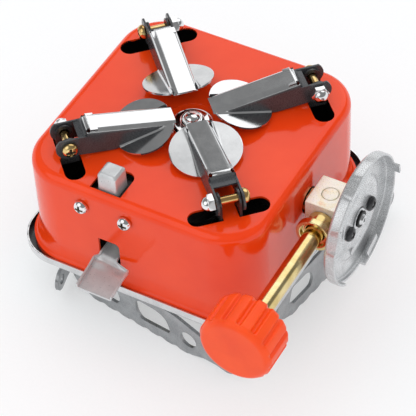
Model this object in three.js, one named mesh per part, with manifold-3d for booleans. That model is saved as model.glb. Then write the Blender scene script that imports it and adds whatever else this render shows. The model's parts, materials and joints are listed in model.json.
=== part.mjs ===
// Folding camp stove, closed and standing on its pot supports, with the red base on top.
// Millimetres, +Z up. -Y is the side with the igniter, +X is the side with the gas valve.
import * as THREE from 'three';
import { mergeVertices } from 'three/addons/utils/BufferGeometryUtils.js';
import Module from 'manifold-3d';

const wasm = await Module();
wasm.setup();

// ---------------------------------------------------------------- driving dimensions
const degree = Math.PI / 180;
const gap = 0.3;                 // clearance between pieces that touch

const baseSide = 90;             // red base, across its walls
const baseTop = 60;              // flat face of the base above the ground
const baseSheet = 0.9;
const baseCorner = 16.4;         // radius of the vertical edges
const baseEdge = 3.5;            // radius between the walls and the flat face
const flangeSide = 95;           // flared lip of the base
const flangeCorner = 18.8;
const flangeRise = 5.6;          // height over which the walls flare out

const trayFloor = 18;            // underside of the burner tray above the ground
const traySheet = 0.8;
const trayWall = 0.6;
const trayHalf = 48.4;           // half of the tray's width over its rim
const trayCorner = 15;
const trayRimTop = 21.6;

const hingeOut = 44.26;          // leg hinges from the centre, along the diagonals
const hingeUp = 5.8;             // leg hinges above the flat face
const legSheet = 0.7;
const legHalf = 4.8;             // half of a leg's width over its walls
const legInside = legHalf - legSheet;
const boltRadius = 1.5;
const boltSeat = legHalf + gap;  // bolt head and nut, from the leg's middle
const bracketSheet = 0.8;
const bracketHalf = legInside - gap;    // the bracket's ears stand inside the leg's
const restLift = { back_left: 3 };      // degrees that a leg's tip stands above its folded place

const valveAxisZ = 42.6;         // height of the gas passage and of the stem
const stemX = 53.8;
const stemRadius = 3.3;
const knobBack = -56.4;          // knob, along Y
const knobFront = -71.2;
const knobRadius = 13.2;

const cupBack = 62.2;            // canister cup, along X
const cupRim = 66.5;
const cupPlate = 64;             // raised middle of the cup
const cupRadius = 24;
const cupScrewSpread = 8;        // its screws, to each side of the gas inlet

const supportSheet = 1.2;
const supportTop = 17;
const supportOffset = 4.5;       // support plate from its pivot
const pivotHole = 1.8;
const pivots = {                 // pot support pivots; the ones at the sides sit further out
  front: [-27, -35],
  right: [39.8, -23.8],
  back: [27, 35],
  left: [-39.8, 23.8],
};
const restSwing = { front: 9.3, right: 8.6, back: 5, left: -10.8 };    // degrees outwards

const igniterX = -9.2;
const bracketX = igniterX - gap;
const screwSpread = 8.5;         // igniter screws, to each side of the bracket's middle
const screwZ = 52.2;
const plungerY = -37.8;
const electrodeY = -29.5;
const leverX = igniterX + 0.4;
const leverZ = 31;               // underside of the ignition lever where it leaves the wall

// ---------------------------------------------------------------- materials
function finish(color, metalness, roughness) {
  return new THREE.MeshStandardMaterial({ color, metalness, roughness });
}

const enamel = finish(0xe8431f, 0.0, 0.25);
const stainless = finish(0xb9bbbd, 1.0, 0.28);
const chrome = finish(0xd8dadc, 1.0, 0.12);
const yellowZinc = finish(0xc9a545, 1.0, 0.35);
const brass = finish(0xc8963c, 1.0, 0.2);
const castAlloy = finish(0x8f9092, 0.9, 0.5);
const redPlastic = finish(0xef4a22, 0.0, 0.4);
const blackPlastic = finish(0x1c1c1e, 0.0, 0.5);
const ceramic = finish(0xece8df, 0.0, 0.35);
const rubber = finish(0x202020, 0.0, 0.8);

// ---------------------------------------------------------------- cutting and joining
function solid(geometry) {
  const bare = geometry.clone();
  bare.deleteAttribute('normal');
  bare.deleteAttribute('uv');
  const merged = mergeVertices(bare, 1e-5);
  return new wasm.Manifold(new wasm.Mesh({
    numProp: 3,
    vertProperties: new Float32Array(merged.attributes.position.array),
    triVerts: new Uint32Array(merged.index.array),
  }));
}

function geometryOf(manifold) {
  const mesh = manifold.getMesh();
  const positions = new Float32Array(mesh.vertProperties);
  const geometry = new THREE.BufferGeometry();
  geometry.setAttribute('position', new THREE.BufferAttribute(positions, 3));
  geometry.setIndex(new THREE.BufferAttribute(new Uint32Array(mesh.triVerts), 1));
  geometry.computeVertexNormals();
  return geometry;
}

function cut(body, ...tools) {
  return geometryOf(tools.reduce((rest, tool) => rest.subtract(solid(tool)), solid(body)));
}

function join(first, ...others) {
  return geometryOf(others.reduce((sum, body) => sum.add(solid(body)), solid(first)));
}

function common(a, b) {
  return geometryOf(solid(a).intersect(solid(b)));
}

// ---------------------------------------------------------------- simple solids
const alongX = (geometry) => geometry.rotateY(Math.PI / 2);
const alongY = (geometry) => geometry.rotateX(-Math.PI / 2);
const againstY = (geometry) => geometry.rotateX(Math.PI / 2);

function box(x0, x1, y0, y1, z0, z1) {
  const geometry = new THREE.BoxGeometry(x1 - x0, y1 - y0, z1 - z0);
  return geometry.translate((x0 + x1) / 2, (y0 + y1) / 2, (z0 + z1) / 2);
}

// A turned piece: profile is a list of [radius, height], turned about Z.
function turned(profile, sides = 20) {
  const points = profile.map(([radius, height]) => new THREE.Vector2(radius, height));
  return new THREE.LatheGeometry(points, sides).rotateX(Math.PI / 2);
}

function rod(radius, z0, z1, sides = 16) {
  return turned([[0, z0], [radius, z0], [radius, z1], [0, z1]], sides);
}

function extruded(shape, z0, z1, curveSegments = 6) {
  const options = { depth: z1 - z0, bevelEnabled: false, curveSegments };
  return new THREE.ExtrudeGeometry(shape, options).translate(0, 0, z0);
}

// Outline drawn in X and Z, extruded along Y from y0 to y1.
function upright(shape, y0, y1, curveSegments = 6) {
  return extruded(shape, -y1, -y0, curveSegments).rotateX(Math.PI / 2);
}

function outline(points) {
  return new THREE.Shape(points.map(([x, y]) => new THREE.Vector2(x, y)));
}

function roundedSquare(half, radius) {
  const shape = new THREE.Shape();
  const flat = half - radius;
  [[flat, flat], [-flat, flat], [-flat, -flat], [flat, -flat]].forEach(([x, y], quarter) => {
    shape.absarc(x, y, radius, quarter * Math.PI / 2, (quarter + 1) * Math.PI / 2, false);
  });
  return shape;
}

// Closed body through a stack of rounded squares given as [half, radius, z].
function stacked(levels, cornerSteps = 5) {
  const rings = levels.map(([half, radius, z]) => {
    const points = roundedSquare(half, radius).getPoints(cornerSteps);
    const unique = points.filter((point, i) => point.distanceTo(points.at(i - 1)) > 1e-6);
    return unique.map((point) => [point.x, point.y, z]);
  });
  const count = rings[0].length;
  const faces = [];
  rings.slice(1).forEach((_, level) => {
    for (let i = 0; i < count; i += 1) {
      const a = level * count + i;
      const b = level * count + (i + 1) % count;
      faces.push(a, b, b + count, a, b + count, a + count);
    }
  });
  const last = (rings.length - 1) * count;
  for (let i = 1; i < count - 1; i += 1) {
    faces.push(0, i + 1, i);
    faces.push(last, last + i, last + i + 1);
  }
  const geometry = new THREE.BufferGeometry();
  geometry.setAttribute('position', new THREE.Float32BufferAttribute(rings.flat(2), 3));
  geometry.setIndex(faces);
  return geometry;
}

// Cross recess for a screw head: two crossing slots along Z.
function crossRecess(half, z0, z1) {
  const width = 0.35;
  return join(box(-half, half, -width, width, z0, z1), box(-width, width, -half, half, z0, z1));
}

// Pan-head screw along Z, with its head on the seat.
function panScrew(shankRadius, start, seat, headRadius, headHeight) {
  const top = seat + headHeight;
  const screw = turned([[0, start], [shankRadius, start], [shankRadius, seat], [headRadius, seat],
    [headRadius, seat + 0.7], [headRadius * 0.68, top - 0.3], [0, top]], 14);
  return cut(screw, crossRecess(1.5, top - 1, top + 1));
}

// ---------------------------------------------------------------- assembly helpers
const stove = new THREE.Group();

function add(name, geometry, material, parent = stove) {
  const mesh = new THREE.Mesh(geometry, material);
  mesh.name = name;
  parent.add(mesh);
  return mesh;
}

const corners = ['back_right', 'back_left', 'front_left', 'front_right'];
const cornerAngle = (index) => Math.PI / 4 + index * Math.PI / 2;

// ---------------------------------------------------------------- red base
const dishRadius = 10;
const dishDepth = 1.2;
const bossHole = 2.9;
const washerRadius = 7.2;
const toolReach = 5;             // how far a cutting tool runs past the flat face
const slotWidth = 7.2;
const slotStart = bracketHalf - bracketSheet - gap;     // ear slots, from the hinge sideways
const slotEnd = 10.6;
const notchWidth = 8.2;
const notchTop = 38.6;

// Levels of the base's outer skin, or of its inner one when inset by the sheet's thickness.
function baseLevels(inset) {
  const half = baseSide / 2 - inset;
  const corner = baseCorner - inset;
  const lip = flangeSide / 2 - inset;
  const lipCorner = flangeCorner - inset;
  const overshoot = inset > 0 ? 1 : 0;
  const levels = [[lip, lipCorner, trayFloor + traySheet + gap - overshoot], [lip, lipCorner, trayRimTop]];
  const flareSteps = 2;
  for (let i = 1; i <= flareSteps; i += 1) {
    const turn = i / flareSteps * Math.PI / 2;
    const blend = 1 - Math.sin(turn);
    const z = trayRimTop + flangeRise * (1 - Math.cos(turn));
    levels.push([half + (lip - half) * blend, corner + (lipCorner - corner) * blend, z]);
  }
  const edgeSteps = 3;
  const edge = baseEdge - inset;
  for (let i = 0; i <= edgeSteps; i += 1) {
    const turn = i / edgeSteps * Math.PI / 2;
    const pull = edge * (1 - Math.cos(turn));
    levels.push([half - pull, corner - pull, baseTop - baseEdge + edge * Math.sin(turn)]);
  }
  return levels;
}

// Tool for the shallow dish round the centre bolt.
function dish(drop, radius) {
  const floor = baseTop - dishDepth - drop;
  return turned([[0, floor], [radius - 3, floor], [radius, baseTop - drop], [radius, baseTop + 2],
    [0, baseTop + 2]], 24);
}

// Slot with a square start and a round end, to one side of a hinge.
function hingeSlot(side, turn) {
  const half = slotWidth / 2;
  const shape = new THREE.Shape();
  shape.moveTo(half, slotStart);
  shape.lineTo(half, slotEnd);
  shape.absarc(0, slotEnd, half, 0, Math.PI, false);
  shape.lineTo(-half, slotStart);
  const slot = extruded(shape, baseTop - toolReach, baseTop + toolReach);
  return slot.rotateZ(side * Math.PI).translate(hingeOut, 0, 0).rotateZ(turn);
}

// Opening in the flat face for the igniter's housing: one back corner is rounded, one is clipped.
function igniterWindow() {
  const left = -16;
  const right = -4;
  const front = -42.2;
  const back = -30.6;
  const corner = 3;
  const clip = 1.4;
  const shape = new THREE.Shape();
  shape.moveTo(left, front);
  shape.lineTo(right, front);
  shape.lineTo(right, back - corner);
  shape.absarc(right - corner, back - corner, corner, 0, Math.PI / 2, false);
  shape.lineTo(left + clip, back);
  shape.lineTo(left, back - clip);
  return extruded(shape, baseTop - toolReach, baseTop + toolReach, 4);
}

// Opening in the front wall that the ignition lever comes through.
function leverNotch() {
  const half = notchWidth / 2;
  const clip = 1.6;
  const shape = outline([[-half, 10], [half, 10], [half, notchTop - clip], [half - clip, notchTop],
    [-half, notchTop]]);
  return upright(shape, -60, -40).translate(leverX, 0, 0);
}

function baseShell() {
  const inner = cut(stacked(baseLevels(baseSheet)), dish(baseSheet, dishRadius + 0.6));
  const slots = corners.flatMap((_, index) => [0, 1].map((side) => hingeSlot(side, cornerAngle(index))));
  const screwHoles = [-1, 1].map((side) => {
    const hole = againstY(rod(1.6, 40, 50, 10));
    return hole.translate(bracketX + side * screwSpread, 0, screwZ);
  });
  const gasHole = alongX(rod(5, 40, 50)).translate(0, 0, valveAxisZ);
  const boltHole = rod(bossHole, 40, baseTop + 1);
  return cut(stacked(baseLevels(0)), inner, dish(0, dishRadius), boltHole, ...slots, igniterWindow(),
    leverNotch(), ...screwHoles, gasHole);
}

add('base_shell', baseShell(), enamel);

// ---------------------------------------------------------------- burner tray
function burnerTray() {
  const neckHole = 10;
  const bevel = 0.8;
  const inside = trayHalf - trayWall;
  const insideCorner = trayCorner - trayWall;
  const outer = stacked([[trayHalf - bevel, trayCorner - bevel, trayFloor],
    [trayHalf, trayCorner, trayFloor + 1], [trayHalf, trayCorner, trayRimTop]]);
  const inner = stacked([[inside, insideCorner, trayFloor + traySheet],
    [inside, insideCorner, trayRimTop + 1]]);
  const rivetHoles = Object.values(pivots).map(([x, y]) => rod(pivotHole, 0, 40, 12).translate(x, y, 0));
  const electrodeHole = rod(2.6, 0, 40, 12).translate(igniterX, electrodeY, 0);
  return cut(outer, inner, rod(neckHole, 0, 40, 32), ...rivetHoles, electrodeHole);
}

add('burner_tray', burnerTray(), stainless);

// ---------------------------------------------------------------- burner and gas path
const mixerRadius = 6;

// Turns a piece to lie on the gas passage's axis; its heights then run outwards along +X.
function onGasAxis(geometry) {
  return alongX(geometry).translate(0, 0, valveAxisZ);
}

// Cast burner head with its neck; the mixer tube goes into the side of the neck.
function burnerBody() {
  const neck = [[0, 49], [7, 49], [7, 18]];
  const bowlInside = [[8, 15.5], [22.5, 12.5], [22.5, 9.6]];
  const bowlOutside = [[25, 9.6], [25, 13], [24, 15], [14, 17.7], [9.4, 17.7], [9.4, 19.6]];
  const crown = [[9, 19.6], [9, 51], [6, 53], [6, 57.3], [0, 57.3]];
  const cast = turned([...neck, ...bowlInside, ...bowlOutside, ...crown], 24);
  const socket = onGasAxis(rod(mixerRadius + gap, 0, 20));
  const boltHole = rod(2.7, 48, 60);
  return cut(cast, socket, boltHole);
}

// Flame spreader: a disc with a ring of gas ports in its rim.
function burnerCap() {
  const ports = 18;
  const outer = 24.5;
  const inner = 20.5;
  const step = Math.PI / ports;
  const rim = [];
  for (let i = 0; i < ports; i += 1) {
    const turn = i * 2 * step;
    [[outer, turn], [outer, turn + step], [inner, turn + step], [inner, turn + 2 * step]].forEach(
      ([radius, angle]) => rim.push([radius * Math.cos(angle), radius * Math.sin(angle)]),
    );
  }
  const plate = turned([[0, 5.4], [22, 5.4], [25, 6.4], [25, 7.4], [0, 7.4]], 36);
  return cut(join(plate, extruded(outline(rim), 7.2, 9.2)), rod(18.5, 7.4, 12, 32), rod(2.3, 0, 12));
}

const capScrewProfile = [[0, 3.6], [3, 3.6], [4, 5.1], [2, 5.1], [2, 14], [0, 14]];
const mixerProfile = [[5.2, 8.8], [mixerRadius, 8.8], [mixerRadius, 34], [7.2, 39], [6.4, 39], [5.2, 34],
  [5.2, 8.8]];
const jetProfile = [[0.8, 35], [2.2, 35], [3.4, 37.5], [3.4, 41], [4.6, 41], [4.6, 46.7], [0.8, 46.7],
  [0.8, 35]];

add('burner_body', burnerBody(), castAlloy);
add('burner_cap', burnerCap(), brass);
add('burner_cap_screw', turned(capScrewProfile), stainless);
add('mixer_tube', onGasAxis(turned(mixerProfile)), stainless);
add('jet_nipple', onGasAxis(turned(jetProfile, 6)), brass);

// ---------------------------------------------------------------- centre fastening of the base
const bossFloor = baseTop - dishDepth;

function centreWasher() {
  const bottom = bossFloor + gap;
  const top = bossFloor + 1.6;
  const bevel = 0.5;
  return turned([[bossHole, bottom], [washerRadius, bottom], [washerRadius, top - bevel],
    [washerRadius - 2 * bevel, top], [bossHole, top], [bossHole, bottom]], 32);
}

function centreBolt() {
  const seat = bossFloor + 1.9;
  return turned([[0, 49.8], [2.4, 49.8], [2.4, seat], [4.3, seat], [4.3, seat + 1.2], [3.6, seat + 1.8],
    [2.6, seat + 2], [2.3, seat + 2.6], [0, seat + 2.9]]);
}

add('centre_washer', centreWasher(), chrome);
add('centre_bolt', centreBolt(), chrome);

// ---------------------------------------------------------------- legs
// A leg is drawn with its hinge at the origin and its tip towards +X.
const webNearX = 7.3;            // sloping top of the leg, from its hinge end
const webNearZ = 6;
const webFarX = 37.6;            // to its tip
const webFarZ = 0.8;
const earRadius = 4.7;           // leg's ears round the hinge bolt
const footCentre = 26.8;         // foot plate's middle from the hinge
const footDrop = 2;              // and below it
const footTilt = 14.5 * degree;
const footLength = 10.8;         // half length of the foot's outline
const footWidth = 12;            // how far a wing stands out to the side

// Section of the folded channel: open below, with its top edges bevelled.
function legSection(inset) {
  const half = legHalf - inset;
  const bevel = 2.1;
  const shoulder = -bevel - inset * 0.6;
  return outline([[-half, -20], [half, -20], [half, shoulder], [half - bevel, -inset],
    [bevel - half, -inset], [-half, shoulder]]);
}

// Bar with that section, following the web's slope from the hinge end to the tip.
function legBar(inset) {
  const slope = Math.atan2(webNearZ - webFarZ, webFarX - webNearX);
  const overshoot = inset > 0 ? 2 : 0;
  const bar = extruded(legSection(inset), -14 - overshoot, 34 + overshoot);
  return bar.rotateX(Math.PI / 2).rotateZ(Math.PI / 2).rotateY(slope).translate(webNearX, 0, webNearZ);
}

// Side view of the leg's walls, with the ear round the hinge bolt.
function legSide() {
  const shape = new THREE.Shape();
  shape.moveTo(3.5, -4.1);
  shape.lineTo(15, -5.2);
  shape.lineTo(16, -footDrop - 3.1);
  shape.lineTo(webFarX, 0.1);
  shape.lineTo(webFarX, 2);
  shape.lineTo(webNearX, webNearZ + 1);
  shape.lineTo(3.1, 3.55);
  shape.absarc(0, 0, earRadius, 0.85, 2 * Math.PI - 0.86, false);
  return shape;
}

// One wing of the foot: a half ellipse beside the channel's wall.
function footWing(side) {
  const steps = 12;
  const points = [];
  for (let i = 0; i <= steps; i += 1) {
    const turn = Math.PI / 2 - i / steps * Math.PI;
    points.push([footLength * Math.sin(turn), 0.7 + footWidth * Math.cos(turn)]);
  }
  const wing = extruded(outline(points), -legSheet, 0);
  if (side < 0) {
    wing.rotateX(Math.PI).translate(0, 0, -legSheet);
  }
  const wallInside = legHalf - 0.2;
  const channel = box(-20, 20, side > 0 ? -20 : -wallInside, side > 0 ? wallInside : 20, -5, 5);
  return cut(wing, channel).rotateY(-footTilt).translate(footCentre, 0, -footDrop);
}

function legGeometry() {
  const bar = cut(common(legBar(0), upright(legSide(), -10, 10)), legBar(legSheet));
  const hingeEnd = box(-10, webNearX, -legInside, legInside, -10, 12);
  const overEars = box(-10, 6.6, -6, 6, 3.6, 12);
  const boltHole = alongY(rod(boltRadius + gap, -10, 10, 12));
  const channel = cut(bar, hingeEnd, overEars, boltHole);
  const bridgeHalf = legHalf - 0.2;
  const bridge = box(3.6, 7.9, -bridgeHalf, bridgeHalf, 2.4, 3.2);
  const step = box(7.2, 7.9, -bridgeHalf, bridgeHalf, 2.4, 5.5);
  return join(channel, bridge, step, footWing(1), footWing(-1));
}

// Acorn nut along Z, with its closed end down.
function acornNut() {
  const hexagonEnd = -boltSeat - 2.2;
  const hexagon = rod(3.3, hexagonEnd, -boltSeat, 6);
  const dome = turned([[0, -2.2], [1.4, -1.9], [2.2, -1.1], [2.5, 0.1], [0, 0.1]], 12);
  const bore = rod(boltRadius + 0.2, hexagonEnd - 0.5, -boltSeat + 0.5, 10);
  return cut(join(hexagon, dome.translate(0, 0, hexagonEnd)), bore);
}

// Bracket under the base: its two ears rise through the slots, inside the leg's ears.
function legBracket() {
  const earHalf = 3.2;
  const plateTop = -hingeUp - baseSheet - gap;
  const plateLow = plateTop - bracketSheet;
  const earInner = bracketHalf - bracketSheet;
  const shape = new THREE.Shape();
  shape.moveTo(-earHalf, plateLow);
  shape.lineTo(earHalf, plateLow);
  shape.absarc(0, 0, earHalf, 0, Math.PI, false);
  const plate = box(-earHalf, earHalf, -bracketHalf, bracketHalf, plateLow, plateTop);
  const ears = [upright(shape, earInner, bracketHalf, 5), upright(shape, -bracketHalf, -earInner, 5)];
  return cut(join(plate, ...ears), alongY(rod(boltRadius + gap, -10, 10, 12)));
}

// In each corner's frame +X points outwards along the diagonal and +Y runs anticlockwise.
corners.forEach((corner, index) => {
  const hinge = new THREE.Group();
  const turn = cornerAngle(index);
  hinge.position.set(hingeOut * Math.cos(turn), hingeOut * Math.sin(turn), baseTop + hingeUp);
  hinge.rotation.z = turn;
  stove.add(hinge);
  const leg = add(`leg_${corner}`, legGeometry().rotateZ(Math.PI), stainless, hinge);
  leg.rotation.y = (restLift[corner] || 0) * degree;
  const bolt = panScrew(boltRadius, -boltSeat - 2.1, boltSeat, 2.7, 2.3);
  add(`leg_bolt_${corner}`, alongY(bolt), yellowZinc, hinge);
  add(`leg_nut_${corner}`, alongY(acornNut()), chrome, hinge);
  add(`leg_bracket_${corner}`, legBracket(), yellowZinc, hinge);
});

// ---------------------------------------------------------------- gas valve
const blockNear = 47;            // valve block, from the wall outwards
const blockFar = 60;
const blockHalf = 7;
const blockTop = 49.5;
const plugX = stemX - 0.6;

// Turns a piece about the stem's axis; its heights then run outwards along -Y.
function onStem(geometry) {
  return againstY(geometry).translate(stemX, 0, valveAxisZ);
}

function valveBlock() {
  const block = box(blockNear, blockFar, -blockHalf, blockHalf, 36, blockTop);
  const stemBore = onStem(rod(4.3, -3, 12));
  const gasBore = onGasAxis(rod(1.6, 30, 70, 12));
  const plugSeat = rod(3.1, blockTop - 1.1, blockTop + 1.5).translate(plugX, 0, 0);
  return cut(block, stemBore, gasBore, plugSeat);
}

const packingProfile = [[3.6, 3.2], [4, 3.2], [4, 7.3], [4.9, 7.3], [4.9, 11.8], [6.5, 12.4], [6.5, 14.6],
  [5, 14.6], [5, 13], [3.6, 13], [3.6, 3.2]];
const stemProfile = [[0, -2.2], [1, -1], [1.2, 2], [stemRadius, 2.6], [stemRadius, 65], [0, 65]];

// Knob with shallow flutes that end short of its front face.
function controlKnob() {
  const lobes = 15;
  const length = knobBack - knobFront;
  const fluteRadius = 1.5;
  const body = turned([[0, 0], [knobRadius - 1.6, 0], [knobRadius, 1.4], [knobRadius, length - 1.6],
    [knobRadius - 1.2, length], [0, length]], 60);
  const flutes = Array.from({ length: lobes }, (_, i) => {
    const flute = rod(fluteRadius, -1, length - 2.4, 8).translate(knobRadius + 0.7, 0, 0);
    return flute.rotateZ(i / lobes * Math.PI * 2);
  });
  const bore = rod(stemRadius + gap, -1, 9);
  return onStem(cut(body, bore, ...flutes)).translate(0, knobBack, 0);
}

add('valve_block', valveBlock(), yellowZinc);
add('valve_plug', rod(2.8, blockTop - 0.8, blockTop - 0.1).translate(plugX, 0, 0), yellowZinc);
add('packing_nut', onStem(turned(packingProfile)), yellowZinc);
add('valve_stem', onStem(turned(stemProfile)), brass);
add('control_knob', controlKnob(), redPlastic);

// ---------------------------------------------------------------- canister cup
// The cup is drawn along +Z and then turned to the gas passage's axis.
function adapterCup() {
  const wall = 0.9;
  const plate = [[0, cupPlate - 1], [14, cupPlate - 1], [15.5, cupBack]];
  const outside = [[cupRadius - 0.8, cupBack], [cupRadius, cupBack + 0.8], [cupRadius, cupRim]];
  const inside = [[cupRadius - wall, cupRim], [cupRadius - wall, cupBack + 1], [16.2, cupBack + 1]];
  const cup = turned([...plate, ...outside, ...inside, [14.6, cupPlate], [0, cupPlate]], 36);
  const tabs = [20, 199, 248].map((turn) => {
    const tab = box(cupRadius - 4.4, cupRadius - 0.4, -3.6, 3.6, cupRim - 1.2, cupRim - 0.3);
    return tab.rotateZ(turn * degree);
  });
  const claw = box(cupRadius - 1.1, cupRadius - 0.1, -2, 2, cupRim - 1, cupRim + 2);
  const cutaway = box(11, 30, -7, 9, cupPlate + 0.4, cupPlate + 16).rotateZ(-20 * degree);
  const screwHoles = [-1, 1].map((side) => rod(1.8, 50, 70, 12).translate(0, side * cupScrewSpread, 0));
  return onGasAxis(cut(join(cup, ...tabs, claw.rotateZ(103 * degree)), rod(4.4, 50, 70), cutaway,
    ...screwHoles));
}

// Plate behind the cup that its screws bite into.
function backingPlate() {
  const plate = box(-5, 5, -12, 12, blockFar + gap, cupBack - gap);
  const screwHoles = [-1, 1].map((side) => rod(1.3, 50, 70, 12).translate(0, side * cupScrewSpread, 0));
  return onGasAxis(cut(plate, rod(3.4, 50, 70), ...screwHoles));
}

const nozzleProfile = [[0.8, blockFar + gap], [3.1, blockFar + gap], [3.1, 63.2], [4, 63.2], [4, 64.2],
  [1.9, 64.2], [1.6, 65.6], [0.8, 65.6], [0.8, blockFar + gap]];
const sealProfile = [[2.2, 64.5], [4, 64.5], [4, 65.3], [2.2, 65.3], [2.2, 64.5]];

add('adapter_cup', adapterCup(), stainless);
add('adapter_backing_plate', backingPlate(), stainless);
[-1, 1].forEach((side, i) => {
  const screw = onGasAxis(panScrew(1, cupPlate - 5, cupPlate + gap, 2.6, 1.6));
  add(`adapter_screw_${i + 1}`, screw.translate(0, side * cupScrewSpread, 0), stainless);
});
add('inlet_nozzle', onGasAxis(turned(nozzleProfile)), brass);
add('inlet_seal', onGasAxis(turned(sealProfile)), rubber);

// ---------------------------------------------------------------- igniter
// Plated bracket on the front wall; its housing stands up through the window in the flat face.
function igniterBracket() {
  const wings = box(-12, 12, -43.8, -43, screwZ - 3.4, screwZ + 3.4);
  const housing = box(-5.2, 5.2, -43.2, -32.2, 48, 58);
  const pocket = box(-4.6, 4.6, -42.4, -33.2, 40, 57.2);
  const cap = stacked([[3.9, 0.6, 0], [3.6, 0.6, 8.4], [2.9, 0.6, 9.4]], 2).translate(0, -37.9, 57.6);
  const screwHoles = [-1, 1].map((side) => {
    const hole = againstY(rod(1.3, 40, 50, 10));
    return hole.translate(side * screwSpread, 0, screwZ);
  });
  return cut(join(wings, housing, cap), pocket, ...screwHoles).translate(bracketX, 0, 0);
}

function igniterBody() {
  const block = box(-4.2, 4.2, -42, -33.6, 39, 56.9);
  const plungerBore = rod(2.6, 30, 50, 12).translate(0, plungerY, 0);
  return cut(block, plungerBore).translate(igniterX, 0, 0);
}

// Lever: a channel through the notch that widens to a thumb tab outside the wall. Its rails are low
// enough to clear the notch's clipped corner when the lever is up.
function ignitionLever() {
  const sheet = 0.8;
  const railHeight = 1.5;
  const tabHalf = 7.1;
  const tabLength = 12.6;
  const neck = box(-3.5, 3.5, -48.5, -34.5, leverZ, leverZ + sheet);
  const rail = (x) => box(x - 0.4, x + 0.4, -47.5, -34.5, leverZ, leverZ + railHeight);
  const lip = (x) => box(x - 0.4, x + 0.4, -tabLength, 0, 0, 2.4);
  const tab = join(box(-tabHalf, tabHalf, -tabLength, 0, 0, sheet), lip(0.4 - tabHalf), lip(tabHalf - 0.4));
  tab.rotateX(13 * degree).translate(2.2, -47.8, leverZ);
  return join(neck, rail(-3.1), rail(3.1), tab).translate(leverX, 0, 0);
}

// Insulated lead from the piezo unit down to the electrode.
function igniterLead() {
  const route = new THREE.CatmullRomCurve3([
    new THREE.Vector3(igniterX, -32.3, 45.2),
    new THREE.Vector3(igniterX, -31.2, 44),
    new THREE.Vector3(igniterX, -30.2, 38),
    new THREE.Vector3(igniterX, -29.7, 32),
    new THREE.Vector3(igniterX, electrodeY, 27.6),
  ]);
  const section = new THREE.Shape();
  section.absarc(0, 0, 0.9, 0, Math.PI * 2, false);
  return new THREE.ExtrudeGeometry(section, { steps: 12, extrudePath: route, curveSegments: 4 });
}

add('igniter_bracket', igniterBracket(), chrome);
[-1, 1].forEach((side, i) => {
  const screw = againstY(panScrew(1, 41, 45.3, 2.6, 2.3));
  add(`igniter_screw_${i + 1}`, screw.translate(bracketX + side * screwSpread, 0, screwZ), chrome);
});
add('igniter_body', igniterBody(), blackPlastic);
add('igniter_plunger', rod(2.2, leverZ + 1.2, 44).translate(igniterX, plungerY, 0), ceramic);
add('ignition_lever', ignitionLever(), stainless);

const insulatorProfile = [[0.8, 12], [2.2, 12], [2.2, 25], [0.8, 25], [0.8, 12]];
add('electrode_insulator', turned(insulatorProfile, 16).translate(igniterX, electrodeY, 0), ceramic);
add('spark_electrode', rod(0.6, 8, 27, 8).translate(igniterX, electrodeY, 0), stainless);
add('igniter_lead', igniterLead(), rubber);

// ---------------------------------------------------------------- pot supports
const wavePitch = 6.6;           // waves along a support's lower edge
const waveCount = 7;
const waveStart = 8;
const lugX = 68;                 // round lug at a support's tip
const lugZ = 6.5;

// Outline of a support plate: x runs from the pivot end to the tip, y is the height.
function supportOutline() {
  const shape = new THREE.Shape();
  shape.moveTo(-1, 8);
  shape.lineTo(0, 5.5);
  shape.lineTo(3, 2.4);
  shape.lineTo(waveStart - 1, 0.8);
  for (let i = 0; i < waveCount; i += 1) {
    const start = waveStart + i * wavePitch;
    shape.lineTo(start, 0);
    shape.lineTo(start + 3, 0);
    shape.lineTo(start + 4.2, 0.7);
    shape.lineTo(start + 5.4, 0.7);
  }
  shape.lineTo(58, 2.6);
  shape.lineTo(64, 3);
  shape.absarc(lugX, lugZ, 4.2, -Math.PI / 2, Math.PI * 0.6, false);
  shape.lineTo(58, 13.2);
  shape.lineTo(45, supportTop);
  shape.lineTo(2, supportTop);
  return shape;
}

// Two windows and two round holes that lighten a support plate.
function supportHoles() {
  const windows = [
    [[6.5, 7.5], [9, 5], [19.5, 5], [21, 8], [20, 12], [17, 14], [8.5, 14]],
    [[27.9, 11.9], [28.4, 7.2], [30.3, 4.3], [43.3, 5.3], [43.4, 7.8], [42.1, 11.3], [39.9, 13.1],
      [37.1, 13.8], [30, 13.8]],
  ];
  const round = [[51.6, 7.7, 3.5], [lugX, lugZ, 1.9]].map(([x, z, radius]) => {
    const hole = new THREE.Path();
    hole.absarc(x, z, radius, 0, Math.PI * 2, true);
    return hole;
  });
  const straight = windows.map((points) => new THREE.Path(points.map(([x, z]) => new THREE.Vector2(x, z))));
  return [...straight, ...round];
}

// Plate on edge with a folded tab at its top that turns on the pivot.
function potSupport() {
  const side = supportOutline();
  side.holes.push(...supportHoles());
  const plate = upright(side, -supportOffset - supportSheet, -supportOffset, 5);
  const tabRadius = 4.2;
  const tabLength = 12;
  const tab = new THREE.Shape();
  tab.moveTo(-tabRadius, -supportOffset - supportSheet);
  tab.lineTo(tabLength, -supportOffset - supportSheet);
  tab.lineTo(tabLength, -supportOffset + 0.4);
  tab.lineTo(tabRadius, 0);
  tab.absarc(0, 0, tabRadius, 0, Math.PI, false);
  const folded = extruded(tab, supportTop - supportSheet, supportTop);
  return cut(join(plate, folded), rod(pivotHole, 0, 30, 12));
}

const rivetProfile = [[0, 14.2], [2.4, 14.2], [3, 15.5], [boltRadius, 15.5], [boltRadius, 19.1], [2.8, 19.1],
  [2.2, 20.3], [0, 20.3]];

['front', 'right', 'back', 'left'].forEach((side, quarter) => {
  const pivot = new THREE.Group();
  pivot.position.set(...pivots[side], 0);
  pivot.rotation.z = quarter * Math.PI / 2;
  stove.add(pivot);
  const support = add(`pot_support_${side}`, potSupport(), stainless, pivot);
  support.rotation.z = -restSwing[side] * degree;
  add(`support_rivet_${side}`, turned(rivetProfile, 12), stainless, pivot);
});

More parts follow.
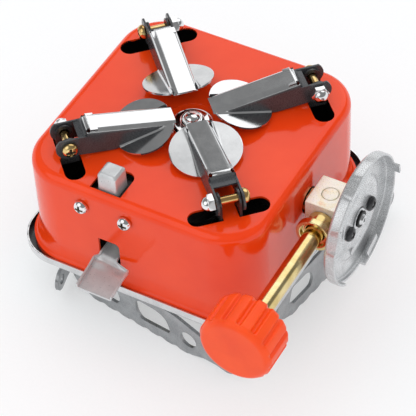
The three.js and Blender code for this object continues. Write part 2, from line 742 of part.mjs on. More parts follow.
// ---------------------------------------------------------------- origin
// The part's origin is the middle of its bounding box, on the ground.
const extent = new THREE.Box3().setFromObject(stove);
stove.position.set(-(extent.min.x + extent.max.x) / 2, -(extent.min.y + extent.max.y) / 2, -extent.min.z);
const group = new THREE.Group();
group.add(stove);
group.updateMatrixWorld(true);

export default group;
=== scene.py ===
import json
import math

import bmesh
import bpy
from mathutils import Matrix, Vector


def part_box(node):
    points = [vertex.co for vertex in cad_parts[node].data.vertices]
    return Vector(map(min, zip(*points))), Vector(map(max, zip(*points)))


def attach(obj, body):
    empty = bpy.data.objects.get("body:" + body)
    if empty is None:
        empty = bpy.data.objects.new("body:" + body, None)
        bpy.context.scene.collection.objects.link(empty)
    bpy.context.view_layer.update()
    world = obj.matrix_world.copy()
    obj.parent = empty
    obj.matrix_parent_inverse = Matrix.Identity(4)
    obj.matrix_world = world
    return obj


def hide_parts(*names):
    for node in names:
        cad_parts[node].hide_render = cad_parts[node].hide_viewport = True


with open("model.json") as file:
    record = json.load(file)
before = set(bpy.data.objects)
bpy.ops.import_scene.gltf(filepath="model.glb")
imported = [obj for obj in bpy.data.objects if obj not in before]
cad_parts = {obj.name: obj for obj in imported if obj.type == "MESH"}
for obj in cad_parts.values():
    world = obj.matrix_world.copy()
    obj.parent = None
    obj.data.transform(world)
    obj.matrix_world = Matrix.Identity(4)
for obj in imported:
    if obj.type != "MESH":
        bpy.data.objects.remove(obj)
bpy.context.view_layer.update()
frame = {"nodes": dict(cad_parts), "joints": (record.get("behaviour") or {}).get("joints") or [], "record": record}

# Shapes are worked out in millimetres, in the frame's own axes: +Z up, -Y the igniter side, +X the
# valve side. They become metres when a piece is made.
MM = 0.001
TURN = 2 * math.pi


def box_mm(node):
    low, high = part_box(node)
    return low / MM, high / MM


JOINTS = {joint["name"]: joint for joint in frame["joints"]}


def joint_mm(name):
    return Vector(JOINTS[name]["pos_m"]) / MM


# ---- places, from the frame
BASE_LOW, BASE_HIGH = box_mm("base_shell")
CENTRE = Vector(((BASE_LOW.x + BASE_HIGH.x) / 2, (BASE_LOW.y + BASE_HIGH.y) / 2, 0))
BASE_TOP = BASE_HIGH.z
TRAY_LOW, TRAY_HIGH = box_mm("burner_tray")
GAP = 0.3  # left between neighbouring pieces

FLANGE_HALF = (BASE_HIGH.x - BASE_LOW.x) / 2
BASE_HALF = FLANGE_HALF - 2.5
BASE_CORNER = 16.4
FLANGE_CORNER = 18.8
BASE_EDGE = 3.5
BASE_SHEET = 0.9
FLANGE_RISE = 5.6
DISH_RADIUS = 10
DISH_DEPTH = 1.2
CENTRE_HOLE = 2.9

VALVE = joint_mm("valve_turn")
STEM_X = VALVE.x
AXIS_Z = VALVE.z
BLOCK_LOW, BLOCK_HIGH = box_mm("valve_block")
KNOB_LOW, KNOB_HIGH = box_mm("control_knob")
LEG_HALF = 4.8
LEG_SHEET = 0.7
LEG_INSIDE = LEG_HALF - LEG_SHEET
LEG_TRAVEL = 168
REST_SWING = {"front": 9.3, "right": 8.6, "back": 5, "left": -10.8}  # each pot support's angle from the wall
BOLT_RADIUS = 1.5
BOLT_SEAT = LEG_HALF + GAP
BRACKET_SHEET = 0.8
BRACKET_HALF = LEG_INSIDE - GAP


# ---- outlines
def arc(x, y, radius, start, end, steps=12):
    """Points on an arc, with its angles in degrees."""
    angles = [math.radians(start + (end - start) * i / steps) for i in range(steps + 1)]
    return [(x + radius * math.cos(a), y + radius * math.sin(a)) for a in angles]


def round_corner(before, corner, after, radius, steps):
    """The corner replaced by a curve that touches both of its sides and takes less than half of each."""
    share = 0.48
    corner = Vector(corner)
    back = Vector(before) - corner
    forward = Vector(after) - corner
    reach = min(radius, back.length * share, forward.length * share)
    start = corner + back.normalized() * reach
    end = corner + forward.normalized() * reach
    points = []
    for i in range(steps + 1):
        t = i / steps
        points.append(start * (1 - t) ** 2 + corner * 2 * t * (1 - t) + end * t ** 2)
    return [(p.x, p.y) for p in points]


def rounded(points, radius, steps=4, closed=True):
    """The outline with every corner rounded. An open one keeps its two ends."""
    count = len(points)
    result = []
    for i, corner in enumerate(points):
        if not closed and i in (0, count - 1):
            result.append(corner)
            continue
        result += round_corner(points[i - 1], corner, points[(i + 1) % count], radius, steps)
    return result


def bent_strip(line, thickness):
    """Outline of a bent sheet seen on edge: the line, and the same line moved over by the thickness."""
    under = []
    for i, point in enumerate(line):
        before = Vector(line[max(i - 1, 0)])
        after = Vector(line[min(i + 1, len(line) - 1)])
        along = (after - before).normalized()
        under.append((point[0] + along.y * thickness, point[1] - along.x * thickness))
    return list(line) + under[::-1]


def rounded_square(half, radius, steps=18):
    flat = half - radius
    points = []
    for quarter, (x, y) in enumerate([(flat, flat), (-flat, flat), (-flat, -flat), (flat, -flat)]):
        points += arc(x, y, radius, 90 * quarter, 90 * quarter + 90, steps)
    return points


# ---- solids, as meshes in millimetres
SAME_POINT = 1e-5


def mesh_of(vertices, faces):
    mesh = bpy.data.meshes.new("solid")
    mesh.from_pydata([tuple(v) for v in vertices], [], faces)
    bm = bmesh.new()
    bm.from_mesh(mesh)
    bmesh.ops.remove_doubles(bm, verts=bm.verts, dist=SAME_POINT)
    bmesh.ops.recalc_face_normals(bm, faces=bm.faces)
    bm.to_mesh(mesh)
    bm.free()
    return mesh


def loft(rings, closed=False):
    """Closed body through rings of points; an open one is capped at both ends."""
    count = len(rings[0])
    vertices = [point for ring in rings for point in ring]
    faces = []
    for level in range(len(rings) if closed else len(rings) - 1):
        here = level * count
        there = (level + 1) % len(rings) * count
        for i in range(count):
            j = (i + 1) % count
            faces.append((here + i, here + j, there + j, there + i))
    if not closed:
        faces.append(tuple(reversed(range(count))))
        faces.append(tuple(range((len(rings) - 1) * count, len(rings) * count)))
    return mesh_of(vertices, faces)


def prism(outline, low, high):
    return loft([[(x, y, z) for x, y in outline] for z in (low, high)])


def upright(outline, low, high):
    """Outline drawn in X and Z, extruded along Y."""
    return loft([[(x, y, z) for x, z in outline] for y in (low, high)])


def block(x0, x1, y0, y1, z0, z1):
    return prism([(x0, y0), (x1, y0), (x1, y1), (x0, y1)], z0, z1)


def turned(profile, sides=72, ring=False):
    """A piece turned about Z from [radius, height] points: from axis to axis, or a closed ring."""
    vertices = []
    for i in range(sides):
        angle = TURN * i / sides
        vertices += [(r * math.cos(angle), r * math.sin(angle), z) for r, z in profile]
    count = len(profile)
    faces = []
    for i in range(sides):
        here = i * count
        there = (i + 1) % sides * count
        for j in range(count if ring else count - 1):
            k = (j + 1) % count
            faces.append((here + j, here + k, there + k, there + j))
    return clean(mesh_of(vertices, faces))


def clean(mesh):
    """Drops the faces and edges that have no area or length."""
    bm = bmesh.new()
    bm.from_mesh(mesh)
    bmesh.ops.dissolve_degenerate(bm, edges=bm.edges, dist=SAME_POINT)
    bm.to_mesh(mesh)
    bm.free()
    return mesh


def rod(radius, low, high, sides=48):
    return turned([(0, low), (radius, low), (radius, high), (0, high)], sides)


def moved(mesh, x=0, y=0, z=0):
    mesh.transform(Matrix.Translation((x, y, z)))
    return mesh


def spun(mesh, degrees, axis="Z"):
    mesh.transform(Matrix.Rotation(math.radians(degrees), 4, axis))
    return mesh


def about_centre(mesh):
    mesh.transform(Matrix.Translation(CENTRE))
    return mesh


def boolean(body, tools, operation):
    """The body with the tools joined, cut away or intersected."""
    scene = bpy.context.scene
    solid = bpy.data.objects.new("body", body)
    scene.collection.objects.link(solid)
    others = []
    for tool in tools:
        other = bpy.data.objects.new("tool", tool)
        scene.collection.objects.link(other)
        modifier = solid.modifiers.new("boolean", "BOOLEAN")
        modifier.operation = operation
        modifier.solver = "EXACT"
        modifier.object = other
        others.append(other)
    depsgraph = bpy.context.evaluated_depsgraph_get()
    result = bpy.data.meshes.new_from_object(solid.evaluated_get(depsgraph))
    for other in [solid, *others]:
        bpy.data.objects.remove(other)
    bm = bmesh.new()
    bm.from_mesh(result)
    bmesh.ops.remove_doubles(bm, verts=bm.verts, dist=10 * SAME_POINT)
    bmesh.ops.triangulate(bm, faces=bm.faces, quad_method="BEAUTY", ngon_method="BEAUTY")
    bm.to_mesh(result)
    bm.free()
    return result


def cut(body, *tools):
    return boolean(body, tools, "DIFFERENCE")


def join(body, *tools):
    return boolean(body, tools, "UNION")


def common(body, *tools):
    return boolean(body, tools, "INTERSECT")


# ---- materials
class Tree:
    """Short helper for a node tree."""

    def feed(self, socket, value):
        if isinstance(value, bpy.types.NodeSocket):
            self.tree.links.new(value, socket)
        else:
            socket.default_value = value

    def spread(self, value, start, end, low, high, shape="LINEAR"):
        """Runs from low to high as the value runs from start to end."""
        node = self.tree.nodes.new("ShaderNodeMapRange")
        node.interpolation_type = shape
        limits = {"Value": value, "From Min": start, "From Max": end, "To Min": low, "To Max": high}
        for key, limit in limits.items():
            self.feed(node.inputs[key], limit)
        return node.outputs["Result"]


class Nodes(Tree):
    """The nodes of one material."""

    def __init__(self, name):
        self.material = bpy.data.materials.new(name)
        self.material.use_nodes = True
        self.tree = self.material.node_tree
        self.shader = self.tree.nodes["Principled BSDF"]
        self.place = self.tree.nodes.new("ShaderNodeTexCoord").outputs["Object"]

    def add(self, kind, **inputs):
        node = self.tree.nodes.new(kind)
        for key, value in inputs.items():
            self.feed(node.inputs[key.replace("_", " ")], value)
        return node

    def set(self, **inputs):
        for key, value in inputs.items():
            self.feed(self.shader.inputs[key.replace("_", " ")], value)

    def noise(self, scale, detail=3.0, stretch=(1, 1, 1), roughness=0.55):
        """Noise in the frame's own place; scale is in features per metre."""
        mapping = self.add("ShaderNodeMapping", Vector=self.place)
        mapping.inputs["Scale"].default_value = stretch
        node = self.add("ShaderNodeTexNoise", Vector=mapping.outputs[0])
        node.inputs["Scale"].default_value = scale
        node.inputs["Detail"].default_value = detail
        node.inputs["Roughness"].default_value = roughness
        return node.outputs["Fac"]

    def span(self, noise, low, high):
        """Noise lies mostly between 0.3 and 0.7, and that is spread from low to high."""
        return self.spread(noise, 0.3, 0.7, low, high)

    def ramp(self, value, stops):
        node = self.add("ShaderNodeValToRGB", Fac=value)
        elements = node.color_ramp.elements
        while len(elements) < len(stops):
            elements.new(0.5)
        for element, (position, colour) in zip(elements, stops):
            element.position = position
            element.color = (*colour, 1)
        return node.outputs["Color"]

    def bump(self, height, strength, distance):
        node = self.add("ShaderNodeBump", Height=height)
        node.inputs["Strength"].default_value = strength
        node.inputs["Distance"].default_value = distance
        return node.outputs["Normal"]


def metal(name, low, high, roughness, grain=(1, 1, 1), scratch=0.04, metallic=1.0):
    """Metal whose colour runs from low to high, with polishing marks drawn out along the grain."""
    nodes = Nodes(name)
    cloud = nodes.noise(180, 3)
    marks = nodes.noise(2600, 4, grain)
    nodes.set(Base_Color=nodes.ramp(cloud, [(0.35, low), (0.68, high)]), Metallic=metallic)
    nodes.set(Roughness=nodes.span(marks, roughness * 0.75, roughness * 1.35))
    nodes.set(Normal=nodes.bump(marks, scratch, 0.00005))
    return nodes.material


def enamel():
    """Glossy stoved enamel: an even colour, a faint orange peel, and a clear top layer."""
    nodes = Nodes("red_enamel")
    cloud = nodes.noise(45, 4)
    reds = [(0.3, (0.82, 0.046, 0.004)), (0.7, (0.88, 0.060, 0.007))]
    nodes.set(Base_Color=nodes.ramp(cloud, reds))
    speck = nodes.noise(1500, 2)
    nodes.set(Roughness=nodes.span(speck, 0.09, 0.14), IOR=1.43)
    peel = nodes.noise(260, 2)
    nodes.set(Normal=nodes.bump(peel, 0.05, 0.0002))
    return nodes.material


def yellow_zinc():
    """Passivated zinc: pale gold that turns pinkish and green in patches."""
    nodes = Nodes("yellow_zinc")
    patches = nodes.noise(230, 4, roughness=0.6)
    colours = [(0.28, (0.92, 0.68, 0.46)), (0.38, (0.95, 0.89, 0.68)), (0.50, (0.97, 0.95, 0.87)),
               (0.63, (0.94, 0.92, 0.74)), (0.70, (0.84, 0.85, 0.46)), (0.80, (0.90, 0.66, 0.46))]
    nodes.set(Base_Color=nodes.ramp(patches, colours), Metallic=0.15)
    grit = nodes.noise(2400, 4)
    nodes.set(Roughness=nodes.span(grit, 0.22, 0.42), Normal=nodes.bump(grit, 0.12, 0.00008))
    return nodes.material


def plastic(name, low, high, roughness, depth=0.0):
    """Moulded plastic with a fine grain; depth lets light through below the surface."""
    nodes = Nodes(name)
    cloud = nodes.noise(70, 3)
    grain = nodes.noise(3200, 3)
    nodes.set(Base_Color=nodes.ramp(cloud, [(0.3, low), (0.7, high)]))
    nodes.set(Roughness=nodes.span(grain, roughness * 0.85, roughness * 1.2))
    nodes.set(Normal=nodes.bump(grain, 0.10, 0.00006))
    if depth:
        nodes.set(Subsurface_Weight=0.25, Subsurface_Scale=depth)
        nodes.set(Subsurface_Radius=(1.0, 0.25, 0.08), Specular_IOR_Level=0.35)
    return nodes.material


def cast_metal():
    """Cast alloy with a sandy skin."""
    nodes = Nodes("cast_alloy")
    sand = nodes.noise(1400, 6, roughness=0.7)
    greys = [(0.3, (0.20, 0.20, 0.21)), (0.7, (0.42, 0.42, 0.43))]
    nodes.set(Base_Color=nodes.ramp(sand, greys), Metallic=0.8)
    nodes.set(Roughness=nodes.span(sand, 0.42, 0.65), Normal=nodes.bump(sand, 0.5, 0.0003))
    return nodes.material


def floor_paper():
    """Pale paper that glows as well as being lit: painted light, which keeps the shadows light."""
    nodes = Nodes("studio_paper")
    fibre = nodes.noise(900, 2)
    whites = [(0.2, (0.53, 0.54, 0.55)), (0.8, (0.55, 0.56, 0.57))]
    nodes.set(Base_Color=nodes.ramp(fibre, whites))
    # The glow is painted light that lightens the shadows on the floor.
    nodes.set(Roughness=0.7, Emission_Color=(0.985, 0.995, 1.0, 1), Emission_Strength=0.42)
    return nodes.material


def grey(level):
    return level, level + 0.01, level + 0.02


METALS = {
    "stainless": dict(low=grey(0.60), high=grey(0.74), roughness=0.20, grain=(1, 6, 1), scratch=0.05),
    "polished_steel": dict(low=grey(0.70), high=grey(0.80), roughness=0.13, grain=(1, 1, 6), scratch=0.02),
    # Near-black steel for the legs' walls, insides and saddles: painted shade and painted dark reflection.
    "leg_steel_painted_shade": dict(low=(0.045, 0.048, 0.052), high=(0.060, 0.064, 0.069), roughness=0.26, metallic=0.05),
    # Near-black steel for the hinge brackets between the leg's ears and for the tray's inside: painted shade.
    "near_black_painted_shade": dict(low=(0.05, 0.05, 0.052), high=(0.09, 0.09, 0.092), roughness=0.25, metallic=0.6),
    "plate_steel": dict(low=grey(0.30), high=grey(0.42), roughness=0.28, grain=(1, 1, 5), scratch=0.08),
    "satin_plate": dict(low=grey(0.56), high=grey(0.68), roughness=0.34, metallic=0.55),
    "cup_steel": dict(low=grey(0.52), high=grey(0.66), roughness=0.26, grain=(1, 1, 5), scratch=0.08,
                      metallic=0.6),
    "chrome": dict(low=grey(0.78), high=grey(0.88), roughness=0.08, scratch=0.015),
    "gold_zinc": dict(low=(0.62, 0.36, 0.12), high=(0.86, 0.66, 0.30), roughness=0.16, scratch=0.03),
    # Dark brown for the cross recesses of the hinge bolts and housing screws: painted shade.
    "recess_painted_shade": dict(low=(0.05, 0.035, 0.02), high=(0.12, 0.085, 0.05), roughness=0.4, metallic=0.6),
    "black_screw": dict(low=(0.020, 0.020, 0.022), high=(0.040, 0.040, 0.043), roughness=0.3, metallic=0.3),
    "brass": dict(low=(0.68, 0.52, 0.22), high=(0.84, 0.70, 0.38), roughness=0.16, grain=(1, 8, 1),
                  scratch=0.03),
}
PLASTICS = {
    # Near-black for the base's inside, the igniter housing within it and the cup screws' recesses: painted shade.
    "painted_shade_black": dict(low=(0.006, 0.005, 0.005), high=(0.012, 0.010, 0.009), roughness=0.6),
    "red_plastic": dict(low=(0.86, 0.060, 0.003), high=(0.95, 0.082, 0.005), roughness=0.34, depth=0.002),
    "black_plastic": dict(low=(0.012, 0.012, 0.013), high=(0.022, 0.022, 0.023), roughness=0.42),
    "ceramic": dict(low=(0.72, 0.69, 0.63), high=(0.80, 0.77, 0.71), roughness=0.22),
    "rubber": dict(low=(0.010, 0.010, 0.010), high=(0.020, 0.020, 0.020), roughness=0.6),
}
MATERIALS = {name: metal(name, **values) for name, values in METALS.items()}
MATERIALS |= {name: plastic(name, **values) for name, values in PLASTICS.items()}
MATERIALS |= {"red_enamel": enamel(), "yellow_zinc": yellow_zinc(), "cast_alloy": cast_metal()}


# ---- making pieces
def soften(obj, width, segments, angle):
    """Rounds the object's edges that turn by more than the angle, in degrees."""
    bevel = obj.modifiers.new("edges", "BEVEL")
    bevel.width = width * MM
    bevel.segments = segments
    bevel.limit_method = "ANGLE"
    bevel.angle_limit = math.radians(angle)
    return bevel


def piece(name, mesh, slot, body, nodes, edge=0.15, material=None, second=None):
    """A finished piece: in metres, with soft edges, riding on its body in place of its CAD nodes.

    It takes the material that is named after its slot unless another one is given. Its marked faces take the
    second one.
    """
    marks = [face.material_index for face in mesh.polygons]
    mesh.transform(Matrix.Scale(MM, 4))
    mesh.name = name
    mesh.materials.clear()
    mesh.materials.append(MATERIALS[material or slot])
    if second:
        mesh.materials.append(MATERIALS[second])
        mesh.polygons.foreach_set("material_index", marks)
    mesh.polygons.foreach_set("use_smooth", [True] * len(mesh.polygons))
    obj = bpy.data.objects.new(name, mesh)
    bpy.context.scene.collection.objects.link(obj)
    if edge:
        soften(obj, edge, 3, 32).miter_outer = "MITER_ARC"
    weighted = obj.modifiers.new("normals", "WEIGHTED_NORMAL")
    weighted.weight = 60
    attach(obj, body)
    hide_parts(*nodes)


def mark(mesh, test):
    """Marks the faces for a piece's second material; test reads a face's middle and its normal."""
    for face in mesh.polygons:
        face.material_index = int(test(face.center, face.normal))
    return mesh


# ---- red base
def base_rings(inset):
    """Rings of the base's outer skin, or of its inner one when inset by the sheet's thickness.

    The inner skin starts below the lip, so that cutting it away leaves the base open.
    """
    half = BASE_HALF - inset
    corner = BASE_CORNER - inset
    lip = FLANGE_HALF - inset
    lip_corner = FLANGE_CORNER - inset
    low = BASE_LOW.z - (1 if inset else 0)
    lip_top = TRAY_HIGH.z
    levels = [(lip, lip_corner, low), (lip, lip_corner, lip_top)]
    steps = 10
    for i in range(1, steps + 1):
        turn = i / steps * math.pi / 2
        blend = 1 - math.sin(turn)
        rise = FLANGE_RISE * (1 - math.cos(turn))
        levels.append((half + (lip - half) * blend, corner + (lip_corner - corner) * blend, lip_top + rise))
    edge = BASE_EDGE - inset
    for i in range(steps + 1):
        turn = i / steps * math.pi / 2
        pull = edge * (1 - math.cos(turn))
        levels.append((half - pull, corner - pull, BASE_TOP - BASE_EDGE + edge * math.sin(turn)))
    return [[(x, y, z) for x, y in rounded_square(size, radius)] for size, radius, z in levels]


def dish(drop, radius):
    """Tool for the sunk middle of the base's top; the drop moves it down to the sheet's inner side."""
    floor = BASE_TOP - DISH_DEPTH - drop
    slope = 4
    over = BASE_TOP + 2
    profile = [(0, floor), (radius - slope, floor), (radius, BASE_TOP - drop), (radius + 0.5, over)]
    return turned([*rounded(profile, 1.6, 6, closed=False), (0, over)], 96)


def hinge_slot(side, degrees):
    """Tool for one slot beside a leg's hinge, round at its outer end."""
    half = 3.6
    start = BRACKET_HALF - BRACKET_SHEET - GAP
    end = 10.6
    outline = [(-half, start), (half, start), *arc(0, end, half, 0, 180, 20)]
    hinge_out = (joint_mm("leg_hinge_back_right") - CENTRE).xy.length
    return spun(moved(spun(through_top(outline), 180 * side), hinge_out), degrees)


def through_top(outline):
    return prism(outline, BASE_TOP - 5, BASE_TOP + 5)


def igniter_window():
    left = -16
    right = -4
    front = -42.2
    back = -30.6
    bend = 3.2
    clip = 1.2
    corner = arc(right - bend, back - bend, bend, 0, 90, 10)
    return through_top([(left, front), (right, front), *corner, (left + clip, back), (left, back - clip)])


IGNITER_X = -9.2
BRACKET_X = IGNITER_X - GAP
SCREW_SPREAD = 8.5
SCREW_Z = 52.2
LEVER_X = IGNITER_X + 0.4


def lever_notch():
    half = 4.1
    top = 38.6
    bend = 1.8
    outline = [(-half, 10), (half, 10), *arc(half - bend, top - bend, bend, 0, 90, 8), (-half, top)]
    return moved(upright(outline, -60, -40), LEVER_X)


def faces_inward(middle, normal):
    return normal.xy.dot(middle.xy) < -0.5 * middle.xy.length


def red_base():
    """Pressed shell, its inside painted black as shade."""
    inner = cut(loft(base_rings(BASE_SHEET)), dish(BASE_SHEET, DISH_RADIUS + 0.6))
    slots = [hinge_slot(side, 45 + 90 * k) for k in range(4) for side in (0, 1)]
    screw_holes = [moved(spun(rod(1.6, 40, 50), 90, "X"), BRACKET_X + side * SCREW_SPREAD, 0, SCREW_Z)
                   for side in (-1, 1)]
    gas_hole = moved(spun(rod(5, 40, 50), 90, "Y"), 0, 0, AXIS_Z)
    bolt_hole = rod(CENTRE_HOLE, 40, BASE_TOP + 1)
    tools = [inner, dish(0, DISH_RADIUS), bolt_hole, *slots, igniter_window(), lever_notch(), *screw_holes,
             gas_hole]
    shell = cut(loft(base_rings(0)), *tools)
    # The inside faces take the near-black that is painted shade.
    mark(shell, lambda middle, normal: middle.z < BASE_TOP - 0.5 and (
        normal.z < -0.3 or faces_inward(middle, normal)))
    piece("red_base", about_centre(shell), "red_enamel", "base", ["base_shell"], 0.28, second="painted_shade_black")


def steel_tray():
    """Open tray with a rounded lower edge, its inside painted near-black as shade."""
    half = (TRAY_HIGH.x - TRAY_LOW.x) / 2
    corner = 15
    wall = 0.6
    floor = 0.8
    edge = 0.9
    chamfer = 0.25
    low = TRAY_LOW.z
    top = TRAY_HIGH.z
    outer = [(half - edge, corner - edge, low), (half - chamfer, corner - chamfer, low + chamfer),
             (half, corner, low + edge), (half, corner, top)]
    inner = [(half - wall, corner - wall, low + floor), (half - wall, corner - wall, top + 1)]
    bodies = [loft([[(x, y, z) for x, y in rounded_square(size, radius)] for size, radius, z in levels])
              for levels in (outer, inner)]
    holes = []
    for side in REST_SWING:
        pivot = joint_mm(f"support_swing_{side}") - CENTRE
        holes.append(moved(rod(1.8, 0, 40), pivot.x, pivot.y))
    burner_hole = rod(10, 0, 40)
    electrode_hole = moved(rod(2.6, 0, 40), IGNITER_X, -29.5)
    tray = cut(bodies[0], bodies[1], burner_hole, *holes, electrode_hole)
    # The inside faces take a near-black that is painted shade.
    mark(tray, lambda middle, normal: (
        (normal.z < 0.5 and middle.z > low + 0.5 and faces_inward(middle, normal))
        or (normal.z > 0.5 and middle.z < top - 0.5)))
    piece("steel_tray", about_centre(tray), "stainless", "base", ["burner_tray"], 0.2, second="near_black_painted_shade")


# ---- screws, bolts and nuts, along Z
def cross_recess(arm, low, high):
    half = arm * 0.27
    return join(block(-arm, arm, -half, half, low, high), block(-half, half, -arm, arm, low, high))


def pan_screw(shank, start, seat, head, height):
    """Pan head with a cross recess, on a threaded shank. The faces of the recess are marked for a dark material:
    painted shade.
    """
    top = seat + height
    dome = [(head * 0.9, seat), (head, seat), (head, seat + height * 0.42), (head * 0.72, top - height * 0.1),
            (0, top)]
    profile = [(0, start), *shank_line(shank, start, seat), *rounded(dome, 0.7, 5, closed=False)]
    arm = head * 0.62
    floor = top - height * 0.6
    screw = cut(turned(profile), cross_recess(arm, floor, top + 1))
    return mark(screw, lambda middle, normal: middle.xy.length < arm and floor - 0.1 < middle.z < top - 0.35)


def shank_line(radius, start, end):
    """Side of a threaded shank, its thread drawn as rings."""
    pitch = 0.7
    depth = 0.13
    line = [(radius, start)]
    for i in range(int((end - start) / pitch)):
        z = start + i * pitch
        line += [(radius - depth, z + pitch * 0.5), (radius, z + pitch * 0.9)]
    return [*line, (radius, end)]


def acorn_nut():
    """Hexagon with chamfered corners and a domed end, with the domed end down."""
    dome_radius = 2.5
    dome_start = -1.9
    chamfer = turned([(0, -2.4), (2.6, -2.4), (3.4, -1.7), (3.4, 0.1), (0, 0.1)])
    hexagon = common(rod(3.3, -2.2, 0, 6), chamfer)
    dome = turned([(0, dome_start - dome_radius), *arc(0, dome_start, dome_radius, -88, 0, 14),
                   (0, dome_start)])
    return moved(cut(join(hexagon, dome), rod(BOLT_RADIUS + 0.2, -2.7, 0.5)), z=-BOLT_SEAT)


# ---- legs
# Drawn with the hinge at the origin and the tip towards +X.
WEB_NEAR = (7.3, 6.0)
WEB_FAR = (37.6, 0.8)
FOOT_CENTRE = 26.8
FOOT_DROP = 2.0
FOOT_TILT = 14.5
FOOT_LENGTH = 10.8
FOOT_WIDTH = 12.0
EAR_RADIUS = 4.7


def leg_bar(inset):
    """Folded channel, open below, with round bends along its top, following the web's slope."""
    half = LEG_HALF - inset
    bend = 2.3 - inset
    flat = half - bend
    section = [(-half, -20), (half, -20), *arc(flat, -inset - bend, bend, 0, 90, 10),
               *arc(-flat, -inset - bend, bend, 90, 180, 10)]
    slope = math.atan2(WEB_NEAR[1] - WEB_FAR[1], WEB_FAR[0] - WEB_NEAR[0])
    over = 2 if inset else 0
    bar = loft([[(x, y, z) for y, z in section] for x in (-14 - over, 34 + over)])
    return moved(spun(bar, math.degrees(slope), "Y"), WEB_NEAR[0], 0, WEB_NEAR[1])


def leg_side():
    """Side view of the walls, with the ear round the hinge bolt."""
    ear = arc(0, 0, EAR_RADIUS, 49, 311, 40)
    wall = [(3.5, -4.1), (15, -5.2), (16, -FOOT_DROP - 3.1), (WEB_FAR[0], 0.1), (WEB_FAR[0], 2),
            (WEB_NEAR[0], WEB_NEAR[1] + 1)]
    return [*wall, *ear]


def foot_outline(inset=0.0):
    """Half of an ellipse, to one side of the channel's middle."""
    start = 0.7
    steps = 40
    points = []
    for i in range(steps + 1):
        turn = math.pi / 2 - i / steps * math.pi
        points.append(((FOOT_LENGTH - inset) * math.sin(turn), start + (FOOT_WIDTH - inset) * math.cos(turn)))
    return points


def foot_wing(side):
    """Half ellipse beside the channel, with a bend strip where it meets the wall."""
    wing = prism(foot_outline(), -LEG_SHEET, 0)
    bend = loft([[(x, LEG_HALF - 0.3, -0.1), (x, LEG_HALF + 0.6, -0.1), (x, LEG_HALF - 0.3, 0.8)]
                 for x in (-11, 11)])
    strip = common(bend, prism(foot_outline(0.2), -1, 3))
    wing = join(cut(wing, block(-20, 20, -20, LEG_HALF - 0.2, -5, 5)), strip)
    if side < 0:
        wing.transform(Matrix.Scale(-1, 4, (0, 1, 0)))
        wing.flip_normals()
    return moved(spun(wing, -FOOT_TILT, "Y"), FOOT_CENTRE, 0, -FOOT_DROP)


def leg_saddle():
    """The web's hinge end: it rolls over, steps down and runs on as a short flat tongue."""
    line = [(3.5, 3.2), (5.8, 3.5), (6.9, 5.93), (10.5, 5.4)]
    bend = 1.1
    half = LEG_INSIDE + 0.1
    strip = bent_strip(rounded(line, bend, 7, closed=False), LEG_SHEET)
    return upright(strip, -half, half)


def leg_mesh():
    """Leg with its two wings. Its walls, its inside and its saddle are marked for a near-black steel: painted
    shade and painted dark reflection.
    """
    bar = cut(common(leg_bar(0), upright(leg_side(), -10, 10)), leg_bar(LEG_SHEET))
    web_start = 8.2
    ear_end = 6.6
    between_ears = block(-10, web_start, -LEG_INSIDE, LEG_INSIDE, -10, 12)
    over_ears = block(-10, ear_end, -6, 6, 3.6, 12)
    hole = spun(rod(BOLT_RADIUS + GAP, -10, 10), 90, "X")
    channel = cut(bar, between_ears, over_ears, hole)
    reliefs = [moved(rod(0.7, 2, 9), 7.2, side * (LEG_INSIDE - 0.3)) for side in (-1, 1)]
    leg = cut(join(channel, leg_saddle(), foot_wing(1), foot_wing(-1)), *reliefs)
    # The walls, the inside faces and the saddle take the near-black steel: painted shade and painted dark
    # reflection.
    return mark(leg, lambda middle, normal: abs(normal.y) > 0.9 or (
        abs(middle.y) < LEG_HALF and (normal.z < -0.3 or middle.x < ear_end)))


def bracket_mesh():
    """Under the base, with two ears that rise inside the leg's ears."""
    half = 3.2
    plate_top = BASE_TOP - joint_mm("leg_hinge_back_right").z - BASE_SHEET - GAP
    plate_low = plate_top - BRACKET_SHEET
    inner = BRACKET_HALF - BRACKET_SHEET
    outline = [(-half, plate_low), (half, plate_low), *arc(0, 0, half, 0, 180, 24)]
    plate = block(-half, half, -BRACKET_HALF, BRACKET_HALF, plate_low, plate_top)
    ears = [upright(outline, inner, BRACKET_HALF), upright(outline, -BRACKET_HALF, -inner)]
    return cut(join(plate, *ears), spun(rod(BOLT_RADIUS + GAP, -10, 10), 90, "X"))


def folding_leg(corner, index):
    """One leg with its bolt, nut and bracket, placed at its hinge."""
    joint = JOINTS[f"leg_hinge_{corner}"]
    lift = LEG_TRAVEL - joint["range_deg"][1]
    outward = Matrix.Rotation(math.radians(45 + 90 * index), 4, "Z")
    spot = Matrix.Translation(joint_mm(joint["name"])) @ outward
    leg = leg_mesh()
    leg.transform(spot @ Matrix.Rotation(math.radians(lift), 4, "Y") @ Matrix.Rotation(math.pi, 4, "Z"))
    # The leg's marked faces take a near-black steel that is painted shade and painted dark reflection.
    piece(f"folding_leg_{corner}", leg, "polished_steel", f"leg_{corner}", [f"leg_{corner}"], 0.14,
          second="leg_steel_painted_shade")
    # The bolt's cross recess is painted dark as shade.
    bolt = spun(pan_screw(BOLT_RADIUS, -BOLT_SEAT - 2.1, BOLT_SEAT, head=2.7, height=2.3), -90, "X")
    bolt.transform(spot)
    piece(f"hinge_bolt_{corner}", bolt, "yellow_zinc", "base", [f"leg_bolt_{corner}"], 0,
          material="gold_zinc", second="recess_painted_shade")
    nut = spun(acorn_nut(), -90, "X")
    nut.transform(spot)
    piece(f"acorn_nut_{corner}", nut, "chrome", "base", [f"leg_nut_{corner}"], 0.12)
    # The bracket sits between the leg's ears and is painted near-black as shade.
    bracket = bracket_mesh()
    bracket.transform(spot)
    piece(f"hinge_bracket_{corner}", bracket, "yellow_zinc", "base", [f"leg_bracket_{corner}"], 0.18,
          material="near_black_painted_shade")


